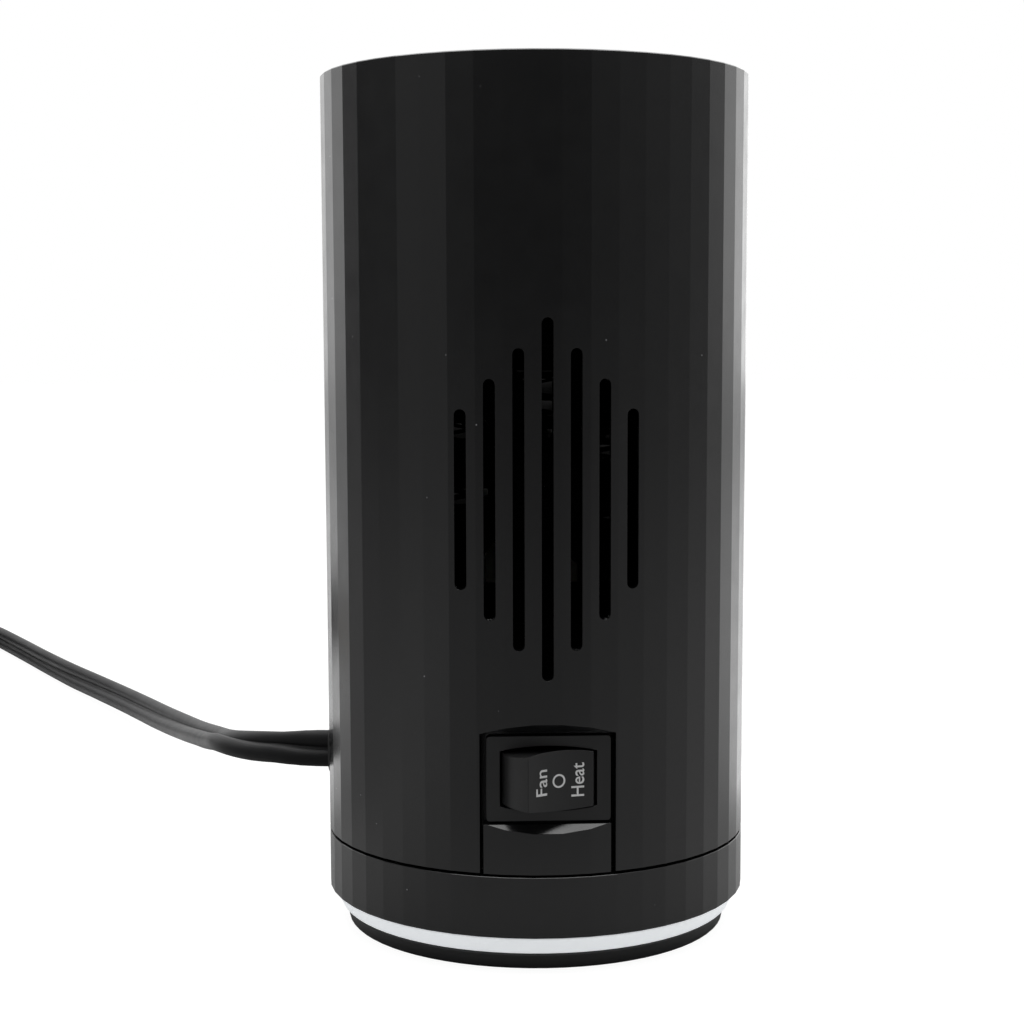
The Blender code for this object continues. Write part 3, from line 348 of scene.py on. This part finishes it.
def milky(name):
    """The translucent ring: milky, faintly cool plastic, with an emission glow that is painted light, as the
    ring is no lamp.
    """
    made = moulded(name, (0.86, 0.885, 0.91), 0.3, mottle=0.02)
    shader = made.node_tree.nodes["Principled BSDF"]
    shader.inputs["Subsurface Weight"].default_value = 0.25
    shader.inputs["Subsurface Radius"].default_value = (1.0, 1.0, 1.0)
    shader.inputs["Subsurface Scale"].default_value = 1.2 * MM
    # Painted light: an emission glow standing in for light on the ring
    shader.inputs["Emission Color"].default_value = (0.95, 0.98, 1.0, 1.0)
    shader.inputs["Emission Strength"].default_value = RING_PAINTED_GLOW
    return made


def dull_moulded(name, colour, roughness, mirror, **details):
    """Soft or matt plastic: mirror is its specular level, which is 0.5 for the hard plastics."""
    made = moulded(name, colour, roughness, **details)
    made.node_tree.nodes["Principled BSDF"].inputs["Specular IOR Level"].default_value = mirror
    return made


def printed(name):
    """Grey-white printing ink."""
    return moulded(name, (0.66, 0.66, 0.66), 0.5, grain=0.15 * MM, depth=0.003 * MM, mottle=0.06)


def make_finishes():
    return {
        "black_plastic": moulded(
            "housing_black", (0.0042, 0.0043, 0.0046), 0.24, depth=0.0006 * MM, dust=0.45, wave=0.01 * MM,
        ),
        "satin_black_plastic": moulded("satin_black", (0.006, 0.006, 0.0063), 0.42),
        "white_plastic": milky("milky_white_painted_glow"),
        "black_rubber": moulded("rubber_black", (0.02, 0.02, 0.02), 0.7, depth=0.01 * MM),
        "black_nylon": moulded("nylon_black", (0.012, 0.012, 0.012), 0.55, depth=0.006 * MM),
        "bright_steel": moulded("steel_plated", (0.55, 0.55, 0.54), 0.3, metallic=1.0),
        "brass": moulded("brass_bright", (0.72, 0.53, 0.25), 0.28, metallic=1.0),
        # Painted shade: the aluminium is coloured much darker than bare metal, for the shade inside the
        # housing
        "aluminium": moulded("aluminium_painted_dark", (0.1, 0.1, 0.102), 0.7, metallic=1.0),
        "ceramic": moulded("ceramic_cream", (0.72, 0.68, 0.6), 0.6, depth=0.01 * MM),
        "circuit_board": moulded("board_green", (0.02, 0.16, 0.06), 0.4),
        "capacitor_case": moulded("case_amber", (0.5, 0.32, 0.05), 0.35),
        "cord_pvc": dull_moulded(
            "lead_black", (0.0105, 0.0105, 0.011), 0.5, 0.12, grain=0.5 * MM, mottle=0.15,
        ),
        "wire_white": moulded("wire_white", (0.7, 0.7, 0.68), 0.45),
        "wire_red": moulded("wire_red", (0.45, 0.02, 0.02), 0.45),
        # Painted shade: near-black, mirror-free finishes for the parts inside the housing and for the
        # grille, so that the slots look dark
        "inside": dull_moulded("inside_painted_shade_black", (0.003, 0.003, 0.003), 0.7, 0.0),
        "outlet": dull_moulded("outlet_painted_shade_black", (0.003, 0.003, 0.003), 0.6, 0.015),
    }


# Rocker legends


def on_rocker(across, up):
    """A place on the face of the print on the rocker's hollow, this far across and up from its middle."""
    ridge_across = ROCKER_END_RADIUS * math.cos(ROCKER_RIDGE_ANGLE)
    ridge_out = ROCKER_END_RADIUS * math.sin(ROCKER_RIDGE_ANGLE)
    out = ridge_out - ROCKER_HOLLOW * (1 - (across / ridge_across) ** 2) + LEGEND_PROUD
    turn = Matrix.Translation(ROCKER_PIVOT) @ Matrix.Rotation(ROCKER_TILT, 4, "Z")
    return turn @ Vector((across, -out, up))


def lettering(word, length, cap_height):
    """The word's outline as a fine flat mesh of that size, centred, as a bmesh in the XY plane."""
    curve = bpy.data.curves.new("lettering", "FONT")
    curve.body = word
    curve.resolution_u = 4
    curve.offset = LEGEND_BOLD
    text = bpy.data.objects.new("lettering", curve)
    bpy.context.scene.collection.objects.link(text)
    bpy.context.view_layer.update()
    mesh = text.evaluated_get(bpy.context.evaluated_depsgraph_get()).to_mesh()
    bm = bmesh.new()
    bm.from_mesh(mesh)
    bpy.data.objects.remove(text)
    bpy.data.curves.remove(curve)
    xs = [v.co.x for v in bm.verts]
    ys = [v.co.y for v in bm.verts]
    for v in bm.verts:
        x = (v.co.x - (min(xs) + max(xs)) / 2) * length / (max(xs) - min(xs))
        y = (v.co.y - (min(ys) + max(ys)) / 2) * cap_height / (max(ys) - min(ys))
        v.co = (x, y, 0)
    return bm


def add_legend(name, bm, across, finish):
    """Lays a flat drawing on the rocker, reading upwards, as a thin layer of print."""
    bmesh.ops.triangulate(bm, faces=bm.faces)
    for v in bm.verts:
        v.co = on_rocker(across - v.co.y, v.co.x)
    inward = Matrix.Rotation(ROCKER_TILT, 4, "Z") @ Vector((0, LEGEND_PROUD, 0))
    front = list(bm.faces)
    made = bmesh.ops.extrude_face_region(bm, geom=front)
    for part in made["geom"]:
        if isinstance(part, bmesh.types.BMVert):
            part.co += inward
    legend = add_piece(name, bm, finish, "rocker")
    return legend


def add_legends():
    finish = printed("legend_white")
    fan = lettering("Fan", LEGEND_FAN_LENGTH, LEGEND_CAP_HEIGHT)
    add_legend("legend_fan", fan, LEGEND_FAN_ACROSS, finish)
    heat = lettering("Heat", LEGEND_HEAT_LENGTH, LEGEND_CAP_HEIGHT)
    add_legend("legend_heat", heat, LEGEND_HEAT_ACROSS, finish)
    add_legend("legend_off", flat_ring(LEGEND_OFF_OUTER, LEGEND_OFF_INNER), LEGEND_OFF_ACROSS, finish)


def flat_ring(outer_radius, inner_radius):
    """A flat ring round the origin, as a bmesh in the XY plane."""
    steps = 48
    ring = bmesh.new()
    outer, inner = [], []
    for row, radius in ((outer, outer_radius), (inner, inner_radius)):
        for i in range(steps):
            angle = math.tau * i / steps
            row.append(ring.verts.new((radius * math.cos(angle), radius * math.sin(angle), 0)))
    for i in range(steps):
        j = (i + 1) % steps
        ring.faces.new((outer[i], outer[j], inner[j], inner[i]))
    return ring


# Lead


def smooth_route(points, spacing):
    """Points at an even spacing along a Catmull-Rom curve through the given ones."""
    knots = [2 * points[0] - points[1]] + points + [2 * points[-1] - points[-2]]
    steps = 12
    fine = []
    for a, b, c, d in zip(knots, knots[1:], knots[2:], knots[3:]):
        for i in range(steps):
            t = i / steps
            bend = (2 * a - 5 * b + 4 * c - d) * t * t + (3 * b - a - 3 * c + d) * t ** 3
            fine.append(0.5 * (2 * b + (c - a) * t + bend))
    fine.append(knots[-2])
    lengths = lengths_along(fine)
    count = round(lengths[-1] / spacing) + 1
    even, at = [], 0
    for i in range(count):
        target = lengths[-1] * i / (count - 1)
        while at < len(fine) - 2 and lengths[at + 1] < target:
            at += 1
        span = lengths[at + 1] - lengths[at]
        even.append(fine[at].lerp(fine[at + 1], (target - lengths[at]) / span))
    return even


def lengths_along(points):
    lengths = [0.0]
    for a, b in zip(points, points[1:]):
        lengths.append(lengths[-1] + (b - a).length)
    return lengths


def ease(share):
    """Runs from 0 to 1 with a slow start and a slow end."""
    share = min(1.0, max(0.0, share))
    return share * share * (3 - 2 * share)


def coil_points():
    """The coil: in towards the middle on the lower layer, a step up, and out again on the upper one."""
    step_start = (COIL_ENTRY_RADIUS - COIL_INNER_RADIUS) / COIL_PITCH * math.tau
    per_turn = 30
    count = round(COIL_TURN / math.tau * per_turn)
    points = []
    for i in range(count + 1):
        turned = COIL_TURN * i / count
        if turned < step_start:
            radius = COIL_ENTRY_RADIUS - COIL_PITCH * turned / math.tau
        else:
            turned_out = max(0.0, turned - step_start - COIL_STEP_TURN)
            radius = COIL_INNER_RADIUS + COIL_PITCH * turned_out / math.tau
        angle = COIL_ENTRY_ANGLE + turned
        x = COIL_CENTRE[0] + radius * math.cos(angle)
        y = COIL_CENTRE[1] + radius * math.sin(angle)
        rise = ease((turned - step_start) / COIL_STEP_TURN)
        z = LAYER_HEIGHTS[0] + rise * (LAYER_HEIGHTS[1] - LAYER_HEIGHTS[0])
        points.append(Vector((x, y, z)))
    return points


def rounded_outline(size, corner, centre):
    """The points of a rounded rectangle of that size round its centre."""
    steps = 5
    points = []
    for quarter, (side, rise) in enumerate(((1, 1), (-1, 1), (-1, -1), (1, -1))):
        for i in range(steps + 1):
            angle = math.pi / 2 * (quarter + i / steps)
            x = side * (size[0] / 2 - corner) + corner * math.cos(angle)
            y = rise * (size[1] / 2 - corner) + corner * math.sin(angle)
            points.append((centre[0] + x, centre[1] + y))
    return points


def add_tie(finish):
    """The tie, drawn tight round the coil's turns."""
    out = Vector((math.cos(TIE_ANGLE), math.sin(TIE_ANGLE), 0))
    across = Vector((-out.y, out.x, 0))
    middle = Vector((*COIL_CENTRE, 0))
    from_middle = [point - middle for point in coil_points()]
    reaches = [p.dot(out) for p in from_middle if abs(p.dot(across)) < TIE_WIDTH and p.dot(out) > 0]
    inside, outside = min(reaches) - LEAD_THICKNESS / 2, max(reaches) + LEAD_THICKNESS / 2
    low, high = LAYER_HEIGHTS[0] - LEAD_WIDTH / 2, LAYER_HEIGHTS[1] + LEAD_WIDTH / 2
    centre = ((inside + outside) / 2, (low + high) / 2)
    bm = bmesh.new()
    loops = []
    for grow, side in ((0, -1), (TIE_THICKNESS, -1), (TIE_THICKNESS, 1), (0, 1)):
        size = (outside - inside + 2 * grow, high - low + 2 * grow)
        outline = rounded_outline(size, LEAD_THICKNESS / 2 + grow, centre)
        edge = middle + across * side * TIE_WIDTH / 2
        loops.append([bm.verts.new(edge + out * reach + Vector((0, 0, z))) for reach, z in outline])
    for loop, following in zip(loops, loops[1:] + loops[:1]):
        for i in range(len(loop)):
            j = (i + 1) % len(loop)
            bm.faces.new((loop[i], loop[j], following[j], following[i]))
    tie = add_piece("tight_tie", bm, finish, body_of("cord_tie"))
    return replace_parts(tie, "cord_tie")


def lead_path():
    """The lead's centreline: out of its hole, down to the floor, round the coil and into the plug."""
    route = [Vector(point) * MM for point in LEAD_ROUTE_MM]
    coil = coil_points()
    end = coil[-1]
    tail = []
    for i in range(1, TAIL_STEPS + 1):
        share = i / TAIL_STEPS
        x = end.x + (PLUG_X - end.x) * ease(share)
        y = end.y + (PLUG_BACK - PLUG_OVERLAP - end.y) * share
        z = end.z + (PLUG_Z - end.z) * ease((share - TAIL_LEVEL_SHARE) / (1 - TAIL_LEVEL_SHARE))
        tail.append(Vector((x, y, z)))
    return smooth_route(route + coil + tail, LEAD_SPACING)


def lead_twist(distance, length):
    """How far the lead's width leans from upright at a distance along it.

    It twists where it leaves the housing, stands on edge along the floor and in the coil, and lies flat at
    the plug.
    """
    stations = LEAN_FROM_HOUSING + [(length - back, lean) for back, lean in LEAN_BACK_FROM_PLUG]
    for (a, lean_a), (b, lean_b) in zip(stations, stations[1:]):
        if distance <= b:
            return math.radians(lean_a + (lean_b - lean_a) * ease((distance - a) / (b - a)))
    return math.radians(stations[-1][1])


def lead_section():
    """The twin lead's outline, as points along its width and its thickness.

    It has two round cores with a groove between them, and fine ribs on one core.
    """
    radius = LEAD_THICKNESS / 2
    offset = LEAD_WIDTH / 2 - radius
    steps = 30
    points = []
    for side in (1, -1):
        for i in range(steps + 1):
            angle = -LEAD_CORE_HALF_ARC + 2 * LEAD_CORE_HALF_ARC * i / steps
            between_ribs = side < 0 and i % 2 == 1
            reach = radius - LEAD_RIB if between_ribs else radius
            points.append((side * (offset + reach * math.cos(angle)), side * reach * math.sin(angle)))
    return points


def add_lead(finish):
    """The whole lead in one mesh, swept along its path, which replaces the lead's CAD nodes."""
    path = lead_path()
    lengths = lengths_along(path)
    section = lead_section()
    up = Vector((0, 0, 1))
    bm = bmesh.new()
    rings = []
    for i, point in enumerate(path):
        along = (path[min(i + 1, len(path) - 1)] - path[max(i - 1, 0)]).normalized()
        side = along.cross(up).normalized()
        upright = side.cross(along)
        lean = lead_twist(lengths[i], lengths[-1])
        wide = upright * math.cos(lean) + side * math.sin(lean)
        thick = along.cross(wide)
        rings.append([bm.verts.new(point + wide * a + thick * b) for a, b in section])
    for ring, following in zip(rings, rings[1:]):
        for k in range(len(section)):
            j = (k + 1) % len(section)
            bm.faces.new((ring[k], ring[j], following[j], following[k]))
    bm.faces.new(rings[0])
    bm.faces.new(reversed(rings[-1]))
    lead = add_piece("twin_lead", bm, finish, "housing", LEAD_SMOOTH_ANGLE)
    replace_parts(lead, "power_cord", "cord_coil", "cord_tail")
    return lead


# Stage


def add_camera():
    data = bpy.data.cameras.new("camera")
    data.lens = LENS_MM
    data.sensor_width = SENSOR_MM
    data.clip_start = CAMERA_NEAR
    camera = bpy.data.objects.new("camera", data)
    aim = Matrix.Rotation(-CAMERA_TURN, 4, "Z") @ Matrix.Rotation(math.pi / 2 - CAMERA_DIP, 4, "X")
    camera.matrix_world = Matrix.Translation(CAMERA_AT) @ aim @ Matrix.Rotation(CAMERA_ROLL, 4, "Z")
    bpy.context.scene.collection.objects.link(camera)
    bpy.context.scene.camera = camera


def studio_round(tree, direction):
    """How bright the studio is in a level direction, from STUDIO_ROUND, between 0 and STUDIO_PEAK."""
    parts = add_node(tree, "ShaderNodeSeparateXYZ", {0: direction})
    towards = calculate(tree, "MULTIPLY", parts.outputs["Y"], -1.0)
    angle = calculate(tree, "ARCTAN2", parts.outputs["X"], towards)
    whole_turn = {"Value": angle, "From Min": -math.pi, "From Max": math.pi}
    share = add_node(tree, "ShaderNodeMapRange", whole_turn).outputs[0]
    ramp = add_node(tree, "ShaderNodeValToRGB", {"Fac": share})
    stops = ramp.color_ramp.elements
    for i, (degrees, level) in enumerate(STUDIO_ROUND):
        at = (degrees + 180) / 360
        stop = stops[0] if i == 0 else stops.new(at)
        stop.position = at
        stop.color = (*[level / STUDIO_PEAK] * 3, 1.0)
    stops.remove(stops[-1])
    return calculate(tree, "MULTIPLY", ramp.outputs[0], STUDIO_PEAK)


def smooth_step(tree, value, start, end, top):
    """Runs from 0 to top, with a slow start and end, while the value runs from start to end."""
    inputs = {"Value": value, "From Min": start, "From Max": end, "To Min": 0.0, "To Max": top}
    return add_node(tree, "ShaderNodeMapRange", inputs, interpolation_type="SMOOTHSTEP").outputs[0]


def add_floor():
    """White to the camera. The object reflects an even grey close by, and further off the studio's
    brightness painted into the floor's colour, with painted shade towards the camera.
    """
    bm = bmesh.new()
    bmesh.ops.create_circle(bm, cap_ends=True, radius=FLOOR_RADIUS, segments=96)
    made = bpy.data.materials.new("studio_floor")
    made.use_nodes = True
    tree = made.node_tree
    tree.nodes.clear()
    place = add_node(tree, "ShaderNodeTexCoord").outputs["Object"]
    # Painted light and shade: the studio's brightness in each direction, put into the floor's colour
    far_painted_light = calculate(tree, "MULTIPLY_ADD", studio_round(tree, place), FLOOR_SHARE, FLOOR_TONE)
    reach = add_node(tree, "ShaderNodeVectorMath", {0: place}, operation="LENGTH").outputs["Value"]
    away = smooth_step(tree, reach, *FLOOR_NEAR, 1.0)
    tone = mix_number(tree, away, FLOOR_NEAR_TONE, far_painted_light)
    painted_floor_tone = calculate(tree, "MINIMUM", tone, FLOOR_TONE_LIMIT)
    shaded = add_node(tree, "ShaderNodeBsdfDiffuse", {"Color": painted_floor_tone})
    pale = add_node(tree, "ShaderNodeBsdfDiffuse", {"Color": FLOOR_SEEN_COLOUR})
    glow = add_node(tree, "ShaderNodeEmission", {"Color": WHITE, "Strength": FLOOR_SEEN_GLOW})
    bright = add_node(tree, "ShaderNodeAddShader", {0: pale.outputs[0], 1: glow.outputs[0]})
    seen = add_node(tree, "ShaderNodeLightPath").outputs["Is Camera Ray"]
    both = add_node(tree, "ShaderNodeMixShader", {0: seen, 1: shaded.outputs[0], 2: bright.outputs[0]})
    out = add_node(tree, "ShaderNodeOutputMaterial")
    tree.links.new(both.outputs[0], out.inputs["Surface"])
    mesh = bpy.data.meshes.new("studio_floor")
    bm.to_mesh(mesh)
    bm.free()
    mesh.materials.append(made)
    floor = bpy.data.objects.new("studio_floor", mesh)
    floor.location.z = -FLOOR_DROP
    bpy.context.scene.collection.objects.link(floor)


def add_world():
    """White to the camera. The object reflects white from behind it and dim from round the camera."""
    world = bpy.data.worlds.new("studio")
    world.use_nodes = True
    tree = world.node_tree
    tree.nodes.clear()
    direction = add_node(tree, "ShaderNodeTexCoord").outputs["Generated"]
    parts = add_node(tree, "ShaderNodeSeparateXYZ", {0: direction})
    above = smooth_step(tree, parts.outputs["Z"], *SKY_RISE, SKY_GLOW)
    level = calculate(tree, "ADD", studio_round(tree, direction), above)
    seen = add_node(tree, "ShaderNodeLightPath").outputs["Is Camera Ray"]
    reflected = add_node(tree, "ShaderNodeBackground", {"Color": WHITE, "Strength": level})
    white = add_node(tree, "ShaderNodeBackground", {"Color": WHITE, "Strength": 1.0})
    both = add_node(tree, "ShaderNodeMixShader", {0: seen, 1: reflected.outputs[0], 2: white.outputs[0]})
    out = add_node(tree, "ShaderNodeOutputWorld")
    tree.links.new(both.outputs[0], out.inputs["Surface"])
    bpy.context.scene.world = world


def add_light(name, at, aim, size, radiance):
    """A square soft box of that radiance, which the camera doesn't see."""
    data = bpy.data.lights.new(name, "AREA")
    data.shape = "RECTANGLE"
    data.size, data.size_y = size
    data.energy = radiance * math.pi * size[0] * size[1]
    light = bpy.data.objects.new(name, data)
    light.location = at
    light.rotation_euler = (Vector(aim) - Vector(at)).to_track_quat("-Z", "Y").to_euler()
    light.visible_camera = False
    bpy.context.scene.collection.objects.link(light)


def add_stage():
    add_floor()
    add_world()
    add_light("overhead", SOFT_BOX_AT, (0, 0, 0), SOFT_BOX_SIZE, SOFT_BOX_RADIANCE)
    bpy.context.scene.view_settings.view_transform = "Standard"


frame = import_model()
SLOTS = {part["node"]: part["material_slot"] for part in frame["record"]["subparts"]}

add_camera()
finishes = make_finishes()
for node in sorted(SLOTS):
    if node in ("power_cord", "cord_coil", "cord_tail", "cord_tie"):
        continue
    finish = finishes[PAINTED_SHADE_FINISH.get(node, slot_of(node))]
    angle = FACET_SMOOTH_ANGLE if node in FACETED else SMOOTH_ANGLE
    refine(node, finish, VISIBLE_EDGES.get(node, 0.0), angle)
add_legends()
tie = add_tie(finishes[slot_of("cord_tie")])
add_lead(finishes["cord_pvc"])
add_stage()
